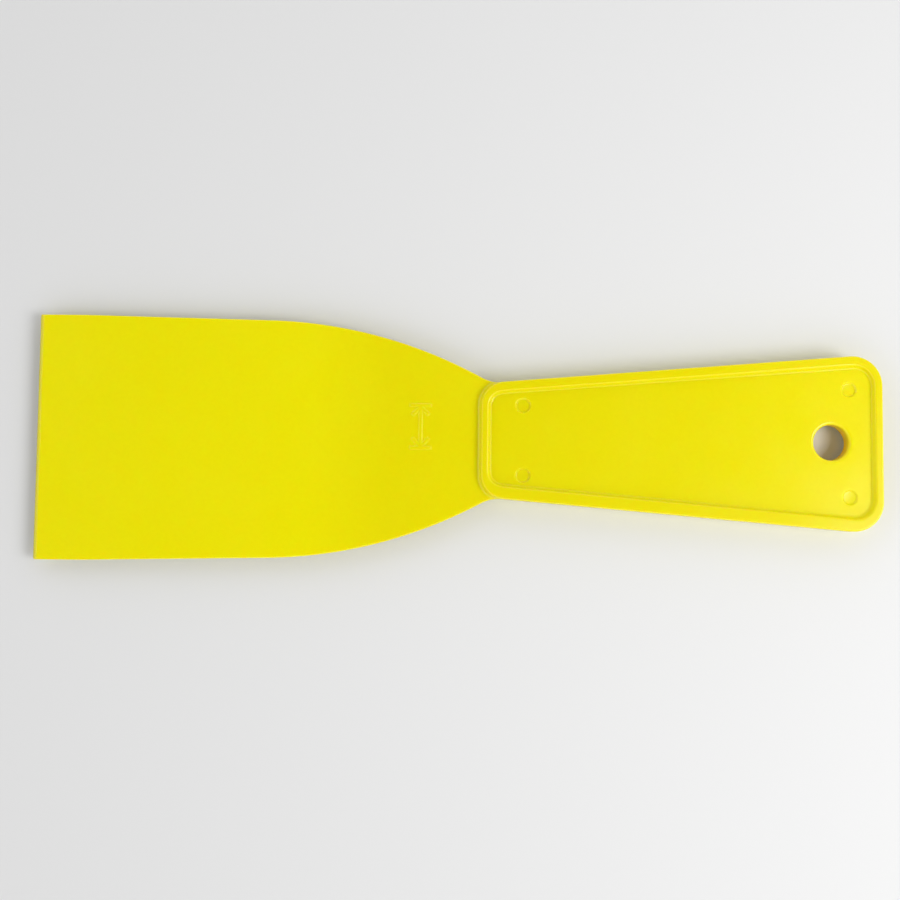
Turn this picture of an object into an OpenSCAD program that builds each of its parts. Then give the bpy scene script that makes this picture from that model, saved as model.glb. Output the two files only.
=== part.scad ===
// One-piece moulded plastic putty knife: a thin tapering blade and a thicker,
// flared handle with a raised rim around a shallow recessed panel on each face.
// X runs from the working edge to the hanging end, Y across, Z out of the front face.

/* [Overall] */
// Length from the working edge to the hanging end
total_l = 174.5; // [160:0.5:200]
// Thickness over the handle's two rims
handle_t = 5.6; // [5:0.1:9]

/* [Blade] */
// Width of the working edge
edge_w = 50.8; // [44:0.1:60]
// Thickness of the plate at the working edge, before the bevel
edge_t = 0.9; // [0.5:0.1:1.5]
// Length of the bevel on the front of the working edge
bevel_l = 1; // [0.5:0.1:2]
// Depth of that bevel
bevel_h = 0.5; // [0.1:0.1:0.8]
// Thickness of the blade where the handle starts
root_t = 2.8; // [2:0.1:4]
// Length of the parallel sides behind the working edge
parallel_l = 10; // [0:1:30]
// Inward slope of each side behind them, in degrees
side_taper = 1.15; // [0:0.05:3]
// Distance from the working edge to the start of the shoulders
shoulder_x = 48.2; // [40:0.1:60]
// Radius of the shoulders
shoulder_r = 96.3; // [90:0.1:110]
// Radius of the inside curve between a shoulder and the handle
neck_r = 7.8; // [5:0.1:10]

/* [Handle] */
// Distance from the working edge to the handle's front wall
neck_x = 92.1; // [90:0.1:94]
// Width between the handle's side lines at the front wall
neck_w = 23.4; // [22:0.1:25]
// Outward slope of each long side, in degrees
flare = 4.76; // [3:0.02:6]
// Radius of the corners beside the blade
neck_corner_r = 5; // [4:0.1:6]
// Radius of the corners at the hanging end
end_corner_r = 6.1; // [5:0.1:8]
// Width of the rim on the +Y side
rim_w = 2.15; // [1.5:0.05:3]
// Width of the rim on the -Y side, which is a little wider
wide_rim_w = 2.7; // [1.5:0.1:3.5]
// Width of the rim beside the blade
neck_rim_w = 1.65; // [1:0.05:3]
// Width of the rim at the hanging end
end_rim_w = 1.85; // [1:0.05:3]
// Depth of the recessed panel below the rim, on each face
recess_d = 1; // [0.6:0.1:1.8]
// Radius of the recess corners beside the blade
recess_neck_r = 3; // [2:0.1:4]
// Radius of the recess corners at the hanging end
recess_end_r = 4; // [3:0.1:6]

/* [Hanging hole] */
// Diameter of the hanging hole
hole_d = 7.3; // [5:0.1:9]
// Distance from the hanging end to the hole's centre
hole_inset = 10.3; // [9:0.1:16]
// Distance of the hole's centre from the centre line
hole_y = 0.2; // [-1:0.1:1]

/* [Ejector marks] */
// Diameter of the four round ejector marks in the front panel
ejector_d = 3.3; // [2:0.1:4]
// Depth of the ejector marks
ejector_depth = 0.3; // [0.1:0.05:0.6]
// Distance from the front wall to the first pair
ejector_front_inset = 8.6; // [7:0.1:14]
// Distance between the first pair's centre line and each mark
ejector_front_y = 7.2; // [5:0.1:7.5]
// Distance from the hanging end to the second pair
ejector_end_inset = 6.65; // [6.5:0.05:8]
// Distance between the second pair's centre line and each mark
ejector_end_y = 11.1; // [10:0.1:11.5]

/* [Width mark] */
// Distance from the working edge to the raised width mark's centre
mark_x = 79.6; // [60:0.1:84]
// Distance of its centre from the blade's centre line
mark_y = 2.7; // [-5:0.1:5]
// Length of the double arrow, across the blade
mark_l = 9.4; // [6:0.1:14]
// Length of the stop line at each arrow tip
mark_stop = 4.4; // [3:0.1:6]
// Length of one arrow-head stroke
mark_head = 2.4; // [1.5:0.1:3]
// Width of every stroke
mark_stroke = 0.6; // [0.3:0.05:0.8]
// Height of the strokes above the blade
mark_h = 0.15; // [0.1:0.05:0.3]

/* [Hidden] */
yellow = [0.91, 0.87, 0.03];
arc_facets = 720;
hole_facets = 96;
corner_facets = 96;
mid_z = handle_t / 2;
half_edge = edge_w / 2;
cut_margin = 1;
// Arcs reach this far past their tangent neighbours, so that the two meet in a clean corner.
lap = 0.01;

// upper end of the tapered sides, and the centre of the shoulder arc that starts there
shoulder_y = half_edge - (shoulder_x - parallel_l) * tan(side_taper);
shoulder_c = [
    shoulder_x - shoulder_r * sin(side_taper),
    shoulder_y + lap - shoulder_r * cos(side_taper)
];

// centre of the inside curve: it touches the shoulder arc and the handle's side line
neck_reach = neck_r - lap;
side_slope = tan(flare);
offset_line = neck_w / 2 - side_slope * neck_x + neck_reach / cos(flare);
quad_a = 1 + side_slope * side_slope;
quad_b = 2 * (side_slope * (offset_line - shoulder_c[1]) - shoulder_c[0]);
quad_c = pow(shoulder_c[0], 2) + pow(offset_line - shoulder_c[1], 2) - pow(shoulder_r + neck_reach, 2);
neck_cx = (-quad_b + sqrt(quad_b * quad_b - 4 * quad_a * quad_c)) / (2 * quad_a);
neck_c = [neck_cx, side_slope * neck_cx + offset_line];

// where the inside curve leaves the shoulder arc and where it reaches the side line
shoulder_end = (shoulder_c * neck_reach + neck_c * shoulder_r) / (shoulder_r + neck_reach);
neck_end = neck_c + neck_r * [sin(flare), -cos(flare)];

// Half-width of a side line that passes half_w away from the centre line at the front wall.
function side_y(x, half_w) = half_w + (x - neck_x) * side_slope;

// Half-thickness of the blade plate at a distance x from the working edge.
function plate_half(x) = (edge_t + (root_t - edge_t) * x / neck_x) / 2;

// Centre of the circle that rounds one corner of a flared panel.
function corner_c(x, half_w, r) = [x, side_y(x, half_w) - r / cos(flare)];

// Puts the origin under the middle of the whole object.
module place() {
    translate([-total_l / 2, 0, 0]) children();
}

module both_sides() {
    children();
    mirror([0, 1]) children();
}

// What a rounded corner removes: outward is -1 at the blade's end and 1 at the hanging end.
module corner_cut(x, half_w, r, outward) {
    centre = corner_c(x, half_w, r);
    across = [outward * (r + cut_margin), 0];
    up = (r + cut_margin) * [-sin(flare), cos(flare)];
    difference() {
        polygon([centre, centre + across, centre + across + up, centre + up]);
        translate(centre) circle(r = r + lap, $fn = corner_facets);
    }
}

// One half of a flared panel with rounded corners, from the centre line to the +Y side line.
module flared_half(x0, x1, half_w, r0, r1) {
    difference() {
        polygon([[x0, 0], [x0, side_y(x0, half_w)], [x1, side_y(x1, half_w)], [x1, 0]]);
        corner_cut(x0 + r0, half_w, r0, -1);
        corner_cut(x1 - r1, half_w, r1, 1);
    }
}

module handle_outline() {
    both_sides() flared_half(neck_x, total_l, neck_w / 2, neck_corner_r, end_corner_r);
}

module recess_outline() {
    x0 = neck_x + neck_rim_w;
    x1 = total_l - end_rim_w;
    flared_half(x0, x1, neck_w / 2 - rim_w / cos(flare), recess_neck_r, recess_end_r);
    mirror([0, 1]) flared_half(x0, x1, neck_w / 2 - wide_rim_w / cos(flare), recess_neck_r, recess_end_r);
}

// Sides and shoulders of the blade, as far as the inside curves.
module shoulder_outline() {
    polygon([
        [0, -half_edge], [parallel_l, -half_edge], [shoulder_x, -shoulder_y],
        [shoulder_x, shoulder_y], [parallel_l, half_edge], [0, half_edge]
    ]);
    intersection() {
        translate(shoulder_c) circle(r = shoulder_r, $fn = arc_facets);
        mirror([0, 1]) translate(shoulder_c) circle(r = shoulder_r, $fn = arc_facets);
        translate([parallel_l, -half_edge]) square([neck_end[0] - parallel_l, edge_w]);
    }
}

// The inside curves that lead the shoulders into the handle's side lines.
module neck_outline() {
    difference() {
        polygon([
            [shoulder_end[0], -shoulder_end[1] - cut_margin], [neck_end[0], -neck_end[1] - cut_margin],
            [neck_end[0], neck_end[1] + cut_margin], [shoulder_end[0], shoulder_end[1] + cut_margin]
        ]);
        both_sides() translate(neck_c) circle(r = neck_r, $fn = corner_facets * 2);
    }
}

// The blade plate's wedge shape and bevel seen from the side, wide enough for the whole outline.
module wedge() {
    rotate([90, 0, 0]) linear_extrude(edge_w + 2 * cut_margin, center = true)
        polygon([
            [0, mid_z - plate_half(0)], [neck_end[0], mid_z - plate_half(neck_end[0])],
            [neck_end[0], mid_z + plate_half(neck_end[0])],
            [bevel_l, mid_z + plate_half(bevel_l)], [0, mid_z + plate_half(0) - bevel_h]
        ]);
}

// The plate between two distances from the working edge.
module plate(x0, x1) {
    intersection() {
        linear_extrude(handle_t) intersection() {
            union() {
                shoulder_outline();
                neck_outline();
            }
            translate([x0, -half_edge - cut_margin]) square([x1 - x0, edge_w + 2 * cut_margin]);
        }
        wedge();
    }
}

// Thin tapering blade, as far as the handle's front wall.
module blade() {
    color(yellow) place() plate(0, neck_x);
}

module ejector_mark(x, y) {
    translate([x, y, handle_t - recess_d - ejector_depth])
        cylinder(d = ejector_d, h = ejector_depth + cut_margin, $fn = corner_facets);
}

// Handle block with its rims, recessed panels, hanging hole and ejector marks,
// and the plate that leads the blade's shoulders into its sides.
module handle() {
    front_x = neck_x + ejector_front_inset;
    end_x = total_l - ejector_end_inset;
    color(yellow) place() difference() {
        union() {
            linear_extrude(handle_t) handle_outline();
            plate(neck_x, neck_end[0]);
        }
        translate([0, 0, handle_t - recess_d]) linear_extrude(recess_d + cut_margin) recess_outline();
        translate([0, 0, -cut_margin]) linear_extrude(recess_d + cut_margin) recess_outline();
        translate([total_l - hole_inset, hole_y, -cut_margin])
            cylinder(d = hole_d, h = handle_t + 2 * cut_margin, $fn = hole_facets);
        for (side = [-1, 1]) {
            ejector_mark(front_x, side * ejector_front_y);
            ejector_mark(end_x, side * ejector_end_y);
        }
    }
}

module stroke(length) {
    square([length, mark_stroke], center = true);
}

// Half of the width symbol: stop line, arrow head and half the shaft.
module half_arrow() {
    tip = mark_l / 2 - mark_stroke;
    translate([0, mark_l / 2 - mark_stroke / 2]) stroke(mark_stop);
    translate([-mark_stroke / 2, 0]) square([mark_stroke, tip + mark_stroke / 2]);
    for (side = [-1, 1])
        translate([0, tip]) rotate(-90 + side * 45) translate([mark_head / 2, 0]) stroke(mark_head);
}

// Raised double arrow that stands for the width of the blade; it follows the sloping face.
module width_mark() {
    x0 = mark_x - mark_stop;
    x1 = mark_x + mark_stop;
    color(yellow) place() intersection() {
        translate([mark_x, mark_y, 0]) linear_extrude(handle_t) both_sides() half_arrow();
        rotate([90, 0, 0]) linear_extrude(edge_w, center = true)
            polygon([
                [x0, mid_z + plate_half(x0)], [x1, mid_z + plate_half(x1)],
                [x1, mid_z + plate_half(x1) + mark_h], [x0, mid_z + plate_half(x0) + mark_h]
            ]);
    }
}

blade();
handle();
width_mark();
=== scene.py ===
"""Looks of the one-piece plastic putty knife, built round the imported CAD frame.

The three CAD nodes are regions of one moulding, so one seamless skin stands for all of them.
Lengths in the shape code are in millimetres from the working edge; the mesh is in metres in the
row frame.
"""

import math

import bpy
import numpy as np
from mathutils import Matrix, Vector
from mathutils.geometry import delaunay_2d_cdt


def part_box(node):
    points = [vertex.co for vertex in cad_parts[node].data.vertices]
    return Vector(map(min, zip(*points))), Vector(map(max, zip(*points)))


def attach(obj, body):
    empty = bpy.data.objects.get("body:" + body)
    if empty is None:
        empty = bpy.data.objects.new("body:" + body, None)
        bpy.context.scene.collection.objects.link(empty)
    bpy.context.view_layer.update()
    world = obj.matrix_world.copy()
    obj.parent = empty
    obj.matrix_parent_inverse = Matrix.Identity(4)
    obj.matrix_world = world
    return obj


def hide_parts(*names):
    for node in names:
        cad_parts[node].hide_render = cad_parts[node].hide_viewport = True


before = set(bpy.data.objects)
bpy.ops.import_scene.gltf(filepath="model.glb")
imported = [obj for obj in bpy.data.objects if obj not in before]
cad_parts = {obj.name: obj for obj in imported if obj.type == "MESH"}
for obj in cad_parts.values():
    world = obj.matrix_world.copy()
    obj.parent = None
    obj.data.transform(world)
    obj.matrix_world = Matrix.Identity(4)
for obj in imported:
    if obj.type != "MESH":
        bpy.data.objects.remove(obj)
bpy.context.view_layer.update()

MM = 0.001

# ---- sizes that the CAD frame gives -------------------------------------------------------
blade_low, blade_high = (np.array(p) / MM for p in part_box("blade"))
handle_low, handle_high = (np.array(p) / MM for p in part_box("handle"))
mark_low, mark_high = (np.array(p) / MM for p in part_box("width_mark"))
X_SHIFT = blade_low[0]
TOTAL_L = handle_high[0] - X_SHIFT
NECK_X = handle_low[0] - X_SHIFT
TOP_Z = handle_high[2]
MID_Z = TOP_Z / 2
HALF_EDGE = blade_high[1]
ROOT_T = blade_high[2] - blade_low[2]
MARK_X = (mark_low[0] + mark_high[0]) / 2 - X_SHIFT
MARK_Y = (mark_low[1] + mark_high[1]) / 2
MARK_L = mark_high[1] - mark_low[1]
MARK_STOP = mark_high[0] - mark_low[0]

# ---- the other driving dimensions of the part ----------------------------------------------
EDGE_T = 0.9
PARALLEL_L = 10.0
SIDE_TAPER = math.radians(1.15)
SHOULDER_X = 48.2
SHOULDER_R = 96.3
NECK_R = 7.8
NECK_W = 23.4
FLARE = math.radians(4.76)
NECK_CORNER_R = 5.0
END_CORNER_R = 6.1
RIM_W = 2.15
WIDE_RIM_W = 2.7
NECK_RIM_W = 1.65
END_RIM_W = 1.85
RECESS_D = 1.0
RECESS_NECK_R = 3.0
RECESS_END_R = 4.0
HOLE_R = 3.65
HOLE_Y = 0.2
HOLE_X = TOTAL_L - 10.3
EJECTOR_R = 1.65
EJECTORS = [(NECK_X + 8.6, 7.2), (TOTAL_L - 6.65, 11.1)]
MARK_HEAD = 2.4
MARK_STROKE = 0.6

# ---- edge roundings, which only the looks need ----------------------------------------------
TIP_CORNER_R = 0.5
NOSE_L = 1.0
NOSE_R = 1.15
BACK_NOSE = 0.35
BLOCK_EDGE_R = 0.4
FOOT_R = 0.8
WALL_ANGLE = math.radians(70)
RECESS_ANGLE = math.radians(62)
RECESS_TOP_R = 0.45
RECESS_FOOT_R = 0.45
HOLE_EDGE_R = 0.6
EJECTOR_DEPTH = 0.32
EJECTOR_TILT = 0.02
EJECTOR_DISH = 0.15
EJECTOR_EDGE = 0.42
STROKE_W = 0.66
STROKE_EDGE = 0.42
STROKE_H = 0.11
PARTING_BULGE = 0.05
PARTING_FLASH = 0.03
SLOPE_STEP = 0.015

# ---- how finely the faces are cut up -----------------------------------------------------------
GRID = 1.6
CLOSEST = 0.03
HOLE_SIDES = 88
EJECTOR_SIDES = 44


def unit(v):
    return np.asarray(v, float) / np.hypot(*v)


SIDE_SLOPE = math.tan(FLARE)
SIDE_NORMAL = np.array([-math.sin(FLARE), math.cos(FLARE)])


def side_y(x, half_w):
    return half_w + (x - NECK_X) * SIDE_SLOPE


def plate_z(x):
    """Height of the blade's front face."""
    return MID_Z + (EDGE_T + (ROOT_T - EDGE_T) * x / NECK_X) / 2


# ---- the outline, as points with outward normals --------------------------------------------
def line_points(a, b, step, normal):
    n = max(1, int(round(np.hypot(*(np.array(b) - a)) / step)))
    return [(np.array(a) + (np.array(b) - a) * k / n, normal) for k in range(n)]


def arc_points(centre, radius, start, end, step, hollow=False):
    """Points from angle start to angle end. A hollow arc has the material outside its circle."""
    n = max(2, int(math.ceil(abs(end - start) * radius / step)))
    points = []
    for k in range(n):
        angle = start + (end - start) * k / n
        out = np.array([math.cos(angle), math.sin(angle)])
        points.append((np.array(centre) + radius * out, -out if hollow else out))
    return points


def angle_of(v):
    return math.atan2(v[1], v[0])


def outline_upper():
    """The outline's +Y half, from the middle of the working edge to that of the hanging end."""
    shoulder_y = HALF_EDGE - (SHOULDER_X - PARALLEL_L) * math.tan(SIDE_TAPER)
    taper_normal = np.array([math.sin(SIDE_TAPER), math.cos(SIDE_TAPER)])
    shoulder = np.array([SHOULDER_X, shoulder_y])
    shoulder_c = shoulder - SHOULDER_R * taper_normal
    # centre of the inside curve, tangent to the shoulder arc and to the handle's side line
    offset = NECK_W / 2 - SIDE_SLOPE * NECK_X + NECK_R / math.cos(FLARE) - shoulder_c[1]
    a = 1 + SIDE_SLOPE**2
    b = 2 * (SIDE_SLOPE * offset - shoulder_c[0])
    c = shoulder_c[0] ** 2 + offset**2 - (SHOULDER_R + NECK_R) ** 2
    neck_x = (-b + math.sqrt(b * b - 4 * a * c)) / (2 * a)
    neck_c = np.array([neck_x, SIDE_SLOPE * neck_x + offset + shoulder_c[1]])
    to_neck = unit(neck_c - shoulder_c)
    end_x = TOTAL_L - END_CORNER_R
    end_c = np.array([end_x, side_y(end_x, NECK_W / 2) - END_CORNER_R / math.cos(FLARE)])
    tip_c = np.array([TIP_CORNER_R, HALF_EDGE - TIP_CORNER_R])
    neck_end = neck_c - NECK_R * SIDE_NORMAL
    corner_start = end_c + END_CORNER_R * SIDE_NORMAL
    up, left, right = np.array([0.0, 1]), np.array([-1.0, 0]), np.array([1.0, 0])
    points = line_points([0, 0], [0, tip_c[1]], 0.8, left)
    points += arc_points(tip_c, TIP_CORNER_R, math.pi, math.pi / 2, 0.08)
    points += line_points([TIP_CORNER_R, HALF_EDGE], [PARALLEL_L, HALF_EDGE], 0.8, up)
    points += line_points([PARALLEL_L, HALF_EDGE], shoulder, 0.8, taper_normal)
    points += arc_points(
        shoulder_c, SHOULDER_R, angle_of(taper_normal), angle_of(to_neck), 0.6
    )
    points += arc_points(
        neck_c, NECK_R, angle_of(-to_neck), angle_of(-SIDE_NORMAL), 0.18, hollow=True
    )
    points += line_points(neck_end, corner_start, 0.5, SIDE_NORMAL)
    points += arc_points(end_c, END_CORNER_R, angle_of(SIDE_NORMAL), 0, 0.2)
    points += line_points([TOTAL_L, end_c[1]], [TOTAL_L, 0], 0.6, right)
    points.append((np.array([TOTAL_L, 0.0]), right))
    return points, neck_end[0]


upper, NECK_END_X = outline_upper()
flip = np.array([1, -1])
lower = [(p * flip, n * flip) for p, n in reversed(upper[1:-1])]
OUTLINE = np.array([p for p, n in upper + lower])
OUTLINE_N = np.array([n for p, n in upper + lower])


def distance_to_outline(points):
    """Distance inward from the outline, negative outside it."""
    a = OUTLINE
    b = np.roll(OUTLINE, -1, axis=0)
    d = b - a
    length2 = (d**2).sum(1)
    result = np.empty(len(points))
    for start in range(0, len(points), 2000):
        p = points[start : start + 2000, None, :]
        t = np.clip(((p - a) * d).sum(2) / length2, 0, 1)
        gap = p - (a + t[..., None] * d)
        dist = np.sqrt((gap**2).sum(2)).min(1)
        crossing = (a[:, 1] > p[..., 1]) != (b[:, 1] > p[..., 1])
        with np.errstate(divide="ignore", invalid="ignore"):
            at_x = a[:, 0] + (p[..., 1] - a[:, 1]) * d[:, 0] / d[:, 1]
        inside = (crossing & (p[..., 0] < at_x)).sum(1) % 2 == 1
        result[start : start + 2000] = np.where(inside, dist, -dist)
    return result


# ---- rounded, flared panels: the handle block and the recess ---------------------------------
class Panel:
    """A flared panel. Each rounded corner has a centre, a radius and two wall normals."""

    def __init__(self, x0, x1, half_up, half_down, r0, r1):
        self.corners = []
        for sign, half_w in ((1, half_up), (-1, half_down)):
            for x, r, across in ((x0 + r0, r0, -1), (x1 - r1, r1, 1)):
                y = side_y(x, half_w) - r / math.cos(FLARE)
                self.corners.append(
                    (
                        np.array([x, sign * y]),
                        r,
                        np.array([across, 0.0]),
                        SIDE_NORMAL * [1, sign],
                    )
                )
        self.walls = [
            (np.array([x0, 0.0]), np.array([-1.0, 0])),
            (np.array([x1, 0.0]), np.array([1.0, 0])),
            (np.array([NECK_X, half_up]), SIDE_NORMAL),
            (np.array([NECK_X, -half_down]), SIDE_NORMAL * flip),
        ]

    def depth(self, p):
        """Distance inward from the panel's edge, negative outside it."""
        s = np.min([((w - p) * n).sum(1) for w, n in self.walls], axis=0)
        for centre, r, n0, n1 in self.corners:
            v = p - centre
            det = n0[0] * n1[1] - n0[1] * n1[0]
            k0 = (v[:, 0] * n1[1] - v[:, 1] * n1[0]) / det
            k1 = (n0[0] * v[:, 1] - n0[1] * v[:, 0]) / det
            s = np.where((k0 > 0) & (k1 > 0), r - np.hypot(v[:, 0], v[:, 1]), s)
        return s

    def ring(self, inset, step=0.5, arc_step=0.2):
        """The closed loop that lies inset inside the panel's edge."""
        order = [self.corners[i] for i in (2, 0, 1, 3)]
        normals = [(3, 2), (2, 3), (3, 2), (2, 3)]
        loop = []
        for (centre, r, *_), (first, second), corner in zip(order, normals, order):
            start, end = angle_of(corner[first]), angle_of(corner[second])
            turn = (end - start + math.pi) % (2 * math.pi) - math.pi
            n = max(4, int(math.ceil(abs(turn) * r / arc_step)))
            for k in range(n + 1):
                angle = start + turn * k / n
                loop.append(
                    centre + (r - inset) * np.array([math.cos(angle), math.sin(angle)])
                )
        full = []
        for a, b in zip(loop, loop[1:] + loop[:1]):
            n = max(1, int(round(np.hypot(*(b - a)) / step)))
            full += [a + (b - a) * k / n for k in range(n)]
        return np.array(full)


BLOCK = Panel(NECK_X, TOTAL_L, NECK_W / 2, NECK_W / 2, NECK_CORNER_R, END_CORNER_R)
RECESS = Panel(
    NECK_X + NECK_RIM_W,
    TOTAL_L - END_RIM_W,
    NECK_W / 2 - RIM_W / math.cos(FLARE),
    NECK_W / 2 - WIDE_RIM_W / math.cos(FLARE),
    RECESS_NECK_R,
    RECESS_END_R,
)


# ---- heights ----------------------------------------------------------------------------------
def step_profile(u, drop, top_r, foot_r, angle):
    """A moulded step seen in section: how far it has fallen u mm after it starts to round off."""
    s, c = math.sin(angle), math.cos(angle)
    straight = np.maximum(drop - (top_r + foot_r) * (1 - c), 0)
    u1 = top_r * s
    u2 = u1 + straight / math.tan(angle)
    u3 = u2 + foot_r * s
    arc = top_r - np.sqrt(np.clip(top_r**2 - np.clip(u, 0, u1) ** 2, 0, None))
    slope = np.clip(u - u1, 0, u2 - u1) * math.tan(angle)
    left = np.clip(u3 - u, 0, u3 - u2)
    foot = foot_r - np.sqrt(np.clip(foot_r**2 - left**2, 0, None))
    fallen = np.where(u < u1, arc, top_r * (1 - c) + slope)
    return np.where(u > u2, drop - foot, fallen) * (u > 0)


def step_width(drop, top_r, foot_r, angle):
    """How far a step runs in plan, and how much of that is before the middle of its slope."""
    s, c = math.sin(angle), math.cos(angle)
    straight = (drop - (top_r + foot_r) * (1 - c)) / math.tan(angle)
    return (top_r + foot_r) * s + straight, top_r * s + straight / 2


def soft_step(t):
    t = np.clip(t, 0, 1)
    return t * t * (3 - 2 * t)


def stroke_list():
    """The strokes of the width symbol: centre, half length along it, direction."""
    strokes = [((0, 0), MARK_L / 2, (0, 1))]
    tip = MARK_L / 2 - MARK_STROKE
    for side in (-1, 1):
        strokes.append(((0, side * (MARK_L - MARK_STROKE) / 2), MARK_STOP / 2, (1, 0)))
        for turn in (-1, 1):
            along = unit((turn, -side))
            strokes.append(
                (np.array([0, side * tip]) + along * MARK_HEAD / 2, MARK_HEAD / 2, along)
            )
    centre = np.array([MARK_X, MARK_Y])
    return [(centre + c, half, unit(d)) for c, half, d in strokes]


STROKES = stroke_list()


def stroke_depth(p):
    """Distance inward from the edge of the nearest stroke, negative outside all of them."""
    best = np.full(len(p), -9.0)
    for centre, half, along in STROKES:
        v = p - centre
        du = np.abs(v @ along) - half
        dv = np.abs(v @ np.array([-along[1], along[0]])) - STROKE_W / 2
        outside = np.hypot(np.maximum(du, 0), np.maximum(dv, 0))
        best = np.maximum(best, -np.where(outside > 0, outside, np.maximum(du, dv)))
    return best


def waviness(p):
    """The slow, shallow unevenness that a moulded face has."""
    x, y = p[:, 0], p[:, 1]
    return 0.010 * (
        np.sin(x / 6.1 + 0.7 * np.sin(y / 7.3))
        + np.sin(y / 4.7 + 1.3 + 0.5 * np.sin(x / 9.9))
        + 0.6 * np.sin((x + y) / 3.4 + 2.1)
    )


def edge_round(x):
    """Edge rounding along the outline: small at the working edge, larger on the handle."""
    return 0.14 + 0.2 * soft_step(x / 60) + 0.06 * soft_step((x - NECK_X) / 6)


def face_height(p, s_out, front):
    """Height of the front face over points p, or how far the back face lies below TOP_Z."""
    x = p[:, 0]
    s_block = BLOCK.depth(p)
    plate = plate_z(np.clip(x, 0, NECK_END_X))
    drop = step_profile(
        BLOCK_EDGE_R - s_block, TOP_Z - plate, BLOCK_EDGE_R, FOOT_R, WALL_ANGLE
    )
    z = TOP_Z - drop
    level = np.clip(drop / (TOP_Z - plate), 0, 1)
    r = edge_round(x)
    inner = np.clip(r - s_out, 0, r)
    side = level * (r - np.sqrt(np.clip(r * r - inner * inner, 0, None)))
    inner = np.clip(NOSE_L - x, 0, NOSE_L)
    nose = (NOSE_R - np.sqrt(NOSE_R**2 - inner**2)) * (1 if front else BACK_NOSE)
    z -= np.maximum(side, nose)
    # the recessed panel
    section = (RECESS_D, RECESS_TOP_R, RECESS_FOOT_R, RECESS_ANGLE)
    z -= step_profile(RECESS.depth(p) + step_width(*section)[1], *section)
    # the hanging hole's rounded edge
    radius = np.hypot(x - HOLE_X, p[:, 1] - HOLE_Y)
    inner = np.clip(HOLE_R + HOLE_EDGE_R - radius, 0, HOLE_EDGE_R)
    z -= HOLE_EDGE_R - np.sqrt(np.clip(HOLE_EDGE_R**2 - inner**2, 0, None))
    calm = np.clip(s_out / 2, 0, 1) * np.clip((radius - HOLE_R) / 2, 0, 1)
    if front:
        for ex, ey in EJECTORS:
            for side in (-1, 1):
                along, across = x - ex, p[:, 1] - side * ey
                out = np.hypot(along, across) / EJECTOR_R
                lean = EJECTOR_TILT * (along - 0.5 * across) / EJECTOR_R
                floor = EJECTOR_DEPTH * (1 + EJECTOR_DISH * (1 - out**2)) + lean
                z -= floor * (1 - soft_step(1 + (out - 1) * EJECTOR_R / EJECTOR_EDGE))
        z += STROKE_H * soft_step(0.5 + stroke_depth(p) / STROKE_EDGE)
        return z + calm * waviness(p)
    return z + calm * waviness(p[:, ::-1] * [1, -1])


# ---- the flat triangulation that both faces share --------------------------------------------
def circle_ring(x, y, r, n):
    a = np.arange(n) * 2 * math.pi / n
    return np.stack([x + r * np.cos(a), y + r * np.sin(a)], 1)


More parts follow.
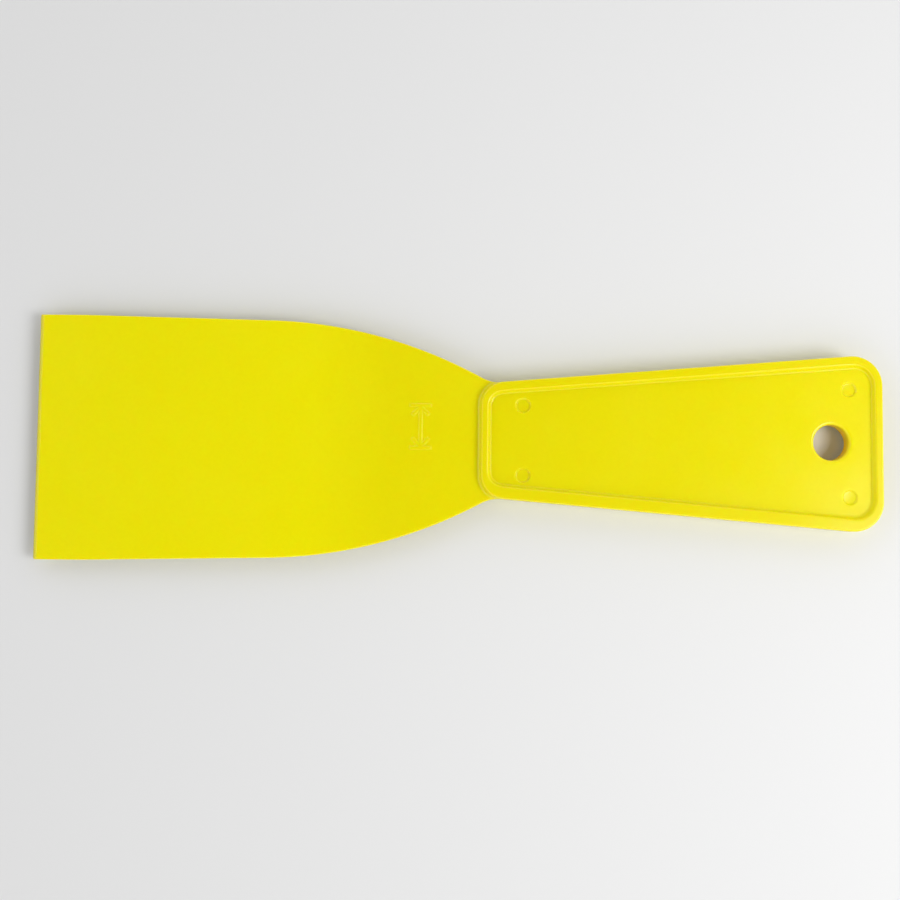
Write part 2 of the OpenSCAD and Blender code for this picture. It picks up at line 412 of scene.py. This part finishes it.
def flat_mesh():
    loops, loose = [], []
    for inset in (0, 0.02, 0.06, 0.12, 0.19, 0.27, 0.35, 0.43, 0.6, 1.1):
        loops.append(OUTLINE - OUTLINE_N * inset)
    width, before = step_width(RECESS_D, RECESS_TOP_R, RECESS_FOOT_R, RECESS_ANGLE)
    for part in (-0.5, -0.2, 0, 0.08, 0.16, 0.24, 0.32, 0.39, 0.46, 0.54, 0.61, 0.68, 0.76, 0.84,
                 0.92, 1, 1.2, 1.5):
        loops.append(RECESS.ring(part * width - before))
    for r in (0, 0.02, 0.05, 0.1, 0.17, 0.25, 0.34, 0.43, 0.52, 0.7, 1.0):
        loops.append(circle_ring(HOLE_X, HOLE_Y, HOLE_R + r, HOLE_SIDES))
    for ex, ey in EJECTORS:
        for side in (-1, 1):
            loose.append(np.array([[ex, side * ey]]))
            for r in (-1.2, -0.85, -0.58, -0.46, -0.4, -0.34, -0.28, -0.22, -0.16, -0.1, -0.05,
                      0, 0.06, 0.3, 0.7):
                loops.append(circle_ring(ex, side * ey, EJECTOR_R + r, EJECTOR_SIDES))
    # rings round the block's front wall and corners, kept where the outline leaves room for them
    open_rings = []
    for inset in (0.6, 0.48, 0.4, 0.32, 0.24, 0.17, 0.11, 0.05, -0.01, -0.07, -0.13, -0.19,
                  -0.25, -0.31, -0.37, -0.44, -0.52, -0.61, -0.7, -0.8, -0.9, -1.0, -1.1, -1.25,
                  -1.4, -1.6, -1.9):
        open_rings.append(BLOCK.ring(inset, 0.3, 0.2))
    # points along both sides of every stroke's edge
    for centre, half, along in STROKES:
        across = np.array([-along[1], along[0]])
        for off in (-0.2, -0.1, -0.05, 0, 0.05, 0.1, 0.25):
            h, w = half + off, STROKE_W / 2 + off
            if w <= 0:
                continue
            n = max(2, int(2 * h / 0.12))
            t = np.linspace(-h, h, n + 1)
            for sign in (-1, 1):
                loose.append(centre + t[:, None] * along + sign * w * across)
            m = np.linspace(-w, w, 7)
            for sign in (-1, 1):
                loose.append(centre + sign * h * along + m[:, None] * across)
    gx, gy = np.meshgrid(np.arange(GRID, TOTAL_L, GRID), np.arange(-25.6, 25.7, GRID))
    grid = np.stack([gx.ravel() + 0.5 * ((gy.ravel() / GRID).round() % 2), gy.ravel()], 1)
    grid = grid[distance_to_outline(grid) > GRID]
    block_gap = BLOCK.depth(grid)
    keep = ((block_gap < -2.5) | (block_gap > 0.9) | (grid[:, 0] > NECK_END_X + 3.5))
    keep &= np.abs(RECESS.depth(grid) - 0.1) > 1.3
    keep &= np.hypot(grid[:, 0] - HOLE_X, grid[:, 1] - HOLE_Y) > HOLE_R + 1.6
    keep &= stroke_depth(grid) < -0.6
    for ex, ey in EJECTORS:
        keep &= np.hypot(grid[:, 0] - ex, np.abs(grid[:, 1]) - ey) > EJECTOR_R + 1.2
    loose.append(grid[keep])
    points = np.concatenate(loose)
    points = points[distance_to_outline(points) > 0.01]
    # points closer together than this would only make needles
    _, first = np.unique((points / CLOSEST).round().astype(int), axis=0, return_index=True)
    points = points[np.sort(first)]
    edges, count = [], 0
    all_points = []
    for ring in loops:
        n = len(ring)
        edges += [(count + k, count + (k + 1) % n) for k in range(n)]
        all_points.append(ring)
        count += n
    for ring in open_rings:
        n = len(ring)
        kept = (distance_to_outline(ring) > 0.03) & (ring[:, 0] < NECK_END_X + 2.5)
        edges += [
            (count + k, count + (k + 1) % n) for k in range(n) if kept[k] and kept[(k + 1) % n]
        ]
        all_points.append(np.where(kept[:, None], ring, [[HOLE_X, HOLE_Y]]))
        count += n
    all_points.append(points)
    flat = np.concatenate(all_points)
    result = delaunay_2d_cdt([Vector(p) for p in flat], edges, [], 0, 1e-4)
    verts = np.array([tuple(v) for v in result[0]])
    tris = np.array([f for f in result[2] if len(f) == 3])
    centre = verts[tris].mean(1)
    keep = distance_to_outline(centre) > 0
    from_hole = np.hypot(centre[:, 0] - HOLE_X, centre[:, 1] - HOLE_Y)
    keep &= from_hole > HOLE_R * math.cos(math.pi / HOLE_SIDES)
    tris = tris[keep]
    a, b, c = verts[tris[:, 0]], verts[tris[:, 1]], verts[tris[:, 2]]
    area = (b - a)[:, 0] * (c - a)[:, 1] - (b - a)[:, 1] * (c - a)[:, 0]
    tris[area < 0] = tris[area < 0][:, ::-1]
    used = np.unique(tris)
    index = np.full(len(verts), -1)
    index[used] = np.arange(len(used))
    return verts[used], index[tris]


def boundary_loops(tris):
    """The closed loops of edges that only one triangle uses, in that triangle's direction."""
    seen = {}
    for t in tris:
        for k in range(3):
            seen[(int(t[k]), int(t[(k + 1) % 3]))] = True
    follow = {a: b for a, b in seen if (b, a) not in seen}
    loops = []
    while follow:
        start, b = next(iter(follow.items()))
        loop = [start]
        while b != start:
            loop.append(b)
            b = follow.pop(b)
        follow.pop(start)
        loops.append(loop)
    return sorted(loops, key=len, reverse=True)


def build_moulding():
    flat, tris = flat_mesh()
    s_out = distance_to_outline(flat)
    front = face_height(flat, s_out, True)
    back = TOP_Z - face_height(flat, s_out, False)
    n = len(flat)
    # the faces' own slopes, so that their shading doesn't depend on the triangles
    slopes = np.zeros((2, n, 2))
    for axis in (0, 1):
        for sign in (-1, 1):
            moved = flat + sign * SLOPE_STEP * np.eye(2)[axis]
            s_moved = distance_to_outline(moved)
            for side in (0, 1):
                slopes[side, :, axis] += sign * face_height(moved, s_moved, side == 0)
    slopes /= 2 * SLOPE_STEP
    verts = [np.column_stack([flat, front]), np.column_stack([flat, back])]
    faces = [tuple(t) for t in tris] + [tuple(t[::-1] + n) for t in tris]
    count = 2 * n
    for loop in boundary_loops(tris):
        loop = np.array(loop)
        base = flat[loop]
        hole = np.hypot(base[0, 0] - HOLE_X, base[0, 1] - HOLE_Y) < HOLE_R + 1
        if hole:
            out = unit_rows(np.array([HOLE_X, HOLE_Y]) - base)
        else:
            along = np.roll(base, -1, axis=0) - np.roll(base, 1, axis=0)
            out = unit_rows(np.stack([along[:, 1], -along[:, 0]], 1))
        half = (front[loop] - back[loop]) / 2
        middle = (front[loop] + back[loop]) / 2
        previous = loop
        rows = (0.92, 0.75, 0.5, 0.25, 0.12, 0.05, 0, -0.05, -0.12, -0.25, -0.5, -0.75, -0.92)
        for level in rows:
            bulge = 0 * half
            if not hole:
                bulge = PARTING_BULGE * (1 - abs(level)) * half / MID_Z
                bulge = bulge + PARTING_FLASH * (1 if level == 0 else 0)
            row = np.column_stack([base + out * np.broadcast_to(bulge, half.shape)[:, None],
                                   middle + half * level])
            current = count + np.arange(len(loop))
            verts.append(row)
            faces += quad_strip(previous, current)
            previous = current
            count += len(loop)
        faces += quad_strip(previous, loop + n)
    verts = np.concatenate(verts)
    verts[:, 0] += X_SHIFT
    mesh = bpy.data.meshes.new("scraper_moulding")
    mesh.from_pydata((verts * MM).tolist(), [], [tuple(int(i) for i in f) for f in faces])
    mesh.polygons.foreach_set("use_smooth", [True] * len(mesh.polygons))
    mesh.update()
    normals = np.empty(3 * len(verts), np.float32)
    mesh.vertex_normals.foreach_get("vector", normals)
    normals = normals.reshape(-1, 3)
    for side in (0, 1):
        up = np.full(n, 1.0 - 2 * side)
        normals[side * n : (side + 1) * n] = unit_rows(np.column_stack([-slopes[side], up]))
    mesh.normals_split_custom_set_from_vertices(normals.tolist())
    piece = bpy.data.objects.new("scraper_moulding", mesh)
    bpy.context.scene.collection.objects.link(piece)
    return piece


def unit_rows(v):
    return v / np.linalg.norm(v, axis=1)[:, None]


def quad_strip(a, b):
    return [
        (int(a[k]), int(b[k]), int(b[(k + 1) % len(a)]), int(a[(k + 1) % len(a)]))
        for k in range(len(a))
    ]


# ---- material ----------------------------------------------------------------------------------
def node(tree, kind, **values):
    made = tree.nodes.new(kind)
    for key, value in values.items():
        if hasattr(made, key):
            setattr(made, key, value)
        else:
            made.inputs[key.replace("_", " ")].default_value = value
    return made


def plastic():
    material = bpy.data.materials.new("yellow_polypropylene")
    material.use_nodes = True
    tree = material.node_tree
    link = tree.links.new
    shader = tree.nodes["Principled BSDF"]
    place = node(tree, "ShaderNodeTexCoord").outputs["Object"]

    def noise(scale, detail, rough):
        made = node(tree, "ShaderNodeTexNoise", Scale=scale, Detail=detail, Roughness=rough)
        link(place, made.inputs["Vector"])
        return made.outputs["Fac"]

    def spread(value, low, high, to_low, to_high):
        made = node(tree, "ShaderNodeMapRange")
        for name, number in (("From Min", low), ("From Max", high),
                             ("To Min", to_low), ("To Max", to_high)):
            made.inputs[name].default_value = number
        link(value, made.inputs["Value"])
        return made.outputs["Result"]

    clouds = noise(45, 3, 0.55)
    speckle = noise(1100, 3, 0.7)
    grain = noise(3200, 2, 0.6)
    waves = noise(170, 3, 0.5)
    smears = noise(90, 4, 0.65)

    def mixed(factor, a, b):
        made = node(tree, "ShaderNodeMix", data_type="RGBA")
        link(factor, made.inputs["Factor"])
        for name, value in (("A", a), ("B", b)):
            socket = [i for i in made.inputs if i.name == name and i.type == "RGBA"][0]
            if isinstance(value, tuple):
                socket.default_value = value
            else:
                link(value, socket)
        return [o for o in made.outputs if o.type == "RGBA"][0]

    def ramp(value, stops):
        made = node(tree, "ShaderNodeValToRGB")
        for k, (at, colour) in enumerate(stops):
            stop = made.color_ramp.elements[k] if k < 2 else made.color_ramp.elements.new(at)
            stop.position = at
            stop.color = (*colour, 1)
        link(value, made.inputs["Fac"])
        return made.outputs["Color"]

    def product(a, b):
        made = node(tree, "ShaderNodeMath", operation="MULTIPLY")
        link(a, made.inputs[0])
        link(b, made.inputs[1])
        return made.outputs[0]

    # the base colour drifts along the length, greener at the blade; its brightness is painted light
    # and shade along the length: lighter at the blade and the hanging end, darkest before the
    # handle
    split = node(tree, "ShaderNodeSeparateXYZ")
    link(place, split.inputs["Vector"])
    along = spread(split.outputs["X"], -0.04, 0.09, 0, 1)

    pale = ramp(along, ((0.077, (0.828, 0.757, 0.0008)), (0.2, (0.778, 0.696, 0.0008)),
                        (0.32, (0.778, 0.696, 0.0008)), (0.4, (0.760, 0.680, 0.0008)),
                        (0.69, (0.772, 0.690, 0.0008)), (1.0, (0.815, 0.725, 0.0008))))
    deep = ramp(along, ((0.077, (0.808, 0.738, 0.0005)), (0.2, (0.759, 0.679, 0.0005)),
                        (0.32, (0.759, 0.679, 0.0005)), (0.4, (0.742, 0.664, 0.0005)),
                        (0.69, (0.753, 0.673, 0.0005)), (1.0, (0.795, 0.707, 0.0005))))
    both = node(tree, "ShaderNodeMath", operation="ADD")
    link(spread(clouds, 0.3, 0.7, -0.2, 0.2), both.inputs[0])
    link(spread(speckle, 0.3, 0.7, 0, 1), both.inputs[1])
    # painted shade: the hole's wall is painted deeper orange, more so further down, for the shaded,
    # orange-tinted light bounced inside the hole
    flat_place = node(tree, "ShaderNodeVectorMath", operation="MULTIPLY")
    link(place, flat_place.inputs[0])
    flat_place.inputs[1].default_value = (1, 1, 0)
    from_hole = node(tree, "ShaderNodeVectorMath", operation="DISTANCE")
    link(flat_place.outputs["Vector"], from_hole.inputs[0])
    from_hole.inputs[1].default_value = ((HOLE_X + X_SHIFT) * MM, HOLE_Y * MM, 0)
    inside = product(
        spread(from_hole.outputs["Value"], (HOLE_R + 0.05) * MM, (HOLE_R + 0.3) * MM, 1, 0),
        spread(split.outputs["Z"], (TOP_Z - RECESS_D) * MM, 0.0026, 0, 1),
    )
    # painted shade: the rim's top is painted a little darker to take down the light it catches, and
    # the first millimetre at the working edge much darker, for shade on its rounded nose
    rim_shade = spread(split.outputs["Z"], (TOP_Z - 0.8) * MM, (TOP_Z - 0.2) * MM, 0, 0.45)
    working_edge_shade = spread(split.outputs["X"], X_SHIFT * MM, (X_SHIFT + 1.0) * MM, 0.75, 0)
    body = mixed(both.outputs[0], deep, pale)
    # painted shade mixed into the base colour: on the rim's top, at the working edge and inside the
    # hole
    body = mixed(rim_shade, body, (0.75, 0.66, 0.0006, 1))
    body = mixed(working_edge_shade, body, (0.36, 0.32, 0.0010, 1))
    link(mixed(inside, body, (0.78, 0.50, 0.0005, 1)), shader.inputs["Base Color"])
    link(spread(smears, 0.3, 0.7, 0.19, 0.27), shader.inputs["Roughness"])
    shader.inputs["IOR"].default_value = 1.49
    shader.inputs["Specular IOR Level"].default_value = 0.4
    shader.inputs["Subsurface Weight"].default_value = 0.5
    shader.inputs["Subsurface Radius"].default_value = (1.0, 0.45, 0.05)
    shader.inputs["Subsurface Scale"].default_value = 0.001
    fine = node(tree, "ShaderNodeBump", Strength=1.0, Distance=0.000004)
    link(grain, fine.inputs["Height"])
    coarse = node(tree, "ShaderNodeBump", Strength=1.0, Distance=0.00005)
    link(waves, coarse.inputs["Height"])
    link(fine.outputs["Normal"], coarse.inputs["Normal"])
    link(coarse.outputs["Normal"], shader.inputs["Normal"])
    return material


def floor_material():
    material = bpy.data.materials.new("pale_floor")
    material.use_nodes = True
    tree = material.node_tree
    shader = tree.nodes["Principled BSDF"]
    place = node(tree, "ShaderNodeTexCoord").outputs["Object"]
    grain = node(tree, "ShaderNodeTexNoise", Scale=400, Detail=3)
    tree.links.new(place, grain.inputs["Vector"])
    bump = node(tree, "ShaderNodeBump", Strength=0.1, Distance=0.0002)
    tree.links.new(grain.outputs["Fac"], bump.inputs["Height"])
    tree.links.new(bump.outputs["Normal"], shader.inputs["Normal"])
    shader.inputs["Base Color"].default_value = (0.72, 0.72, 0.72, 1)
    shader.inputs["Roughness"].default_value = 0.85
    shader.inputs["Specular IOR Level"].default_value = 0.2
    return material


# ---- the object ----------------------------------------------------------------------------------
moulding = build_moulding()
moulding.data.materials.append(plastic())
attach(moulding, "root")
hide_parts("blade", "handle", "width_mark")

# ---- floor, light, camera ------------------------------------------------------------------------
FLOOR = 15
corners = [(-FLOOR, -FLOOR, 0), (FLOOR, -FLOOR, 0), (FLOOR, FLOOR, 0), (-FLOOR, FLOOR, 0)]
floor_mesh = bpy.data.meshes.new("floor")
floor_mesh.from_pydata(corners, [], [(0, 1, 2, 3)])
floor = bpy.data.objects.new("floor", floor_mesh)
floor.data.materials.append(floor_material())
bpy.context.scene.collection.objects.link(floor)


def area_light(name, place, size, power, aim=(0, 0, 0)):
    lamp = bpy.data.lights.new(name, "AREA")
    lamp.shape = "DISK"
    lamp.size = size
    lamp.energy = power
    piece = bpy.data.objects.new(name, lamp)
    piece.location = place
    piece.rotation_euler = (Vector(aim) - Vector(place)).to_track_quat("-Z", "Y").to_euler()
    bpy.context.scene.collection.objects.link(piece)


area_light("key", (0.36, -0.1, 0.36), 0.27, 1.5)
area_light("front", (0.5, -0.7, 0.8), 0.6, 0.2)

# a plain tent: darker overhead, where the camera is, and brighter towards the horizon
WORLD_LEVEL = 1.48
WORLD_LEAN = (-0.28, -0.05, 0)
world = bpy.data.worlds.new("studio")
world.use_nodes = True
tree = world.node_tree
direction = node(tree, "ShaderNodeTexCoord").outputs["Generated"]
split = node(tree, "ShaderNodeSeparateXYZ")
tree.links.new(direction, split.inputs["Vector"])
fade = node(tree, "ShaderNodeValToRGB")
stops = ((0.0, 1.3), (0.45, 1.75), (0.69, 1.6), (0.85, 0.1), (1.0, 0.05))
for k, (at, level) in enumerate(stops):
    stop = fade.color_ramp.elements[k] if k < 2 else fade.color_ramp.elements.new(at)
    stop.position = at
    stop.color = (level / 2, level / 2, level / 2, 1)
# the tent is brighter towards -X, and a little towards -Y
lean = node(tree, "ShaderNodeVectorMath", operation="DOT_PRODUCT")
tree.links.new(direction, lean.inputs[0])
lean.inputs[1].default_value = WORLD_LEAN
level = node(tree, "ShaderNodeMath", operation="MULTIPLY_ADD")
tree.links.new(lean.outputs["Value"], level.inputs[0])
level.inputs[1].default_value = WORLD_LEVEL
level.inputs[2].default_value = WORLD_LEVEL
tree.links.new(level.outputs["Value"], tree.nodes["Background"].inputs["Strength"])
tree.links.new(split.outputs["Z"], fade.inputs["Fac"])
tree.links.new(fade.outputs["Color"], tree.nodes["Background"].inputs["Color"])
bpy.context.scene.world = world
bpy.context.scene.view_settings.view_transform = "Standard"

# the camera, in millimetres and degrees: the point below it, its height over the front face, tilt
CAMERA_FOOT = (85.72, -13.545)
CAMERA_HEIGHT = 203
CAMERA_PITCH = -3.2027
CAMERA_ROLL = -0.5768
camera_data = bpy.data.cameras.new("camera")
camera_data.sensor_width = 36
camera_data.lens = 39.78
camera = bpy.data.objects.new("camera", camera_data)
pitch, roll = math.radians(CAMERA_PITCH), math.radians(CAMERA_ROLL)
turn = Matrix.Rotation(roll, 3, "Z") @ Matrix.Rotation(pitch, 3, "X")
place = Vector((CAMERA_FOOT[0] + X_SHIFT, CAMERA_FOOT[1], TOP_Z + CAMERA_HEIGHT)) * MM
camera.matrix_world = Matrix.Translation(place) @ turn.transposed().to_4x4()
bpy.context.scene.collection.objects.link(camera)
bpy.context.scene.camera = camera
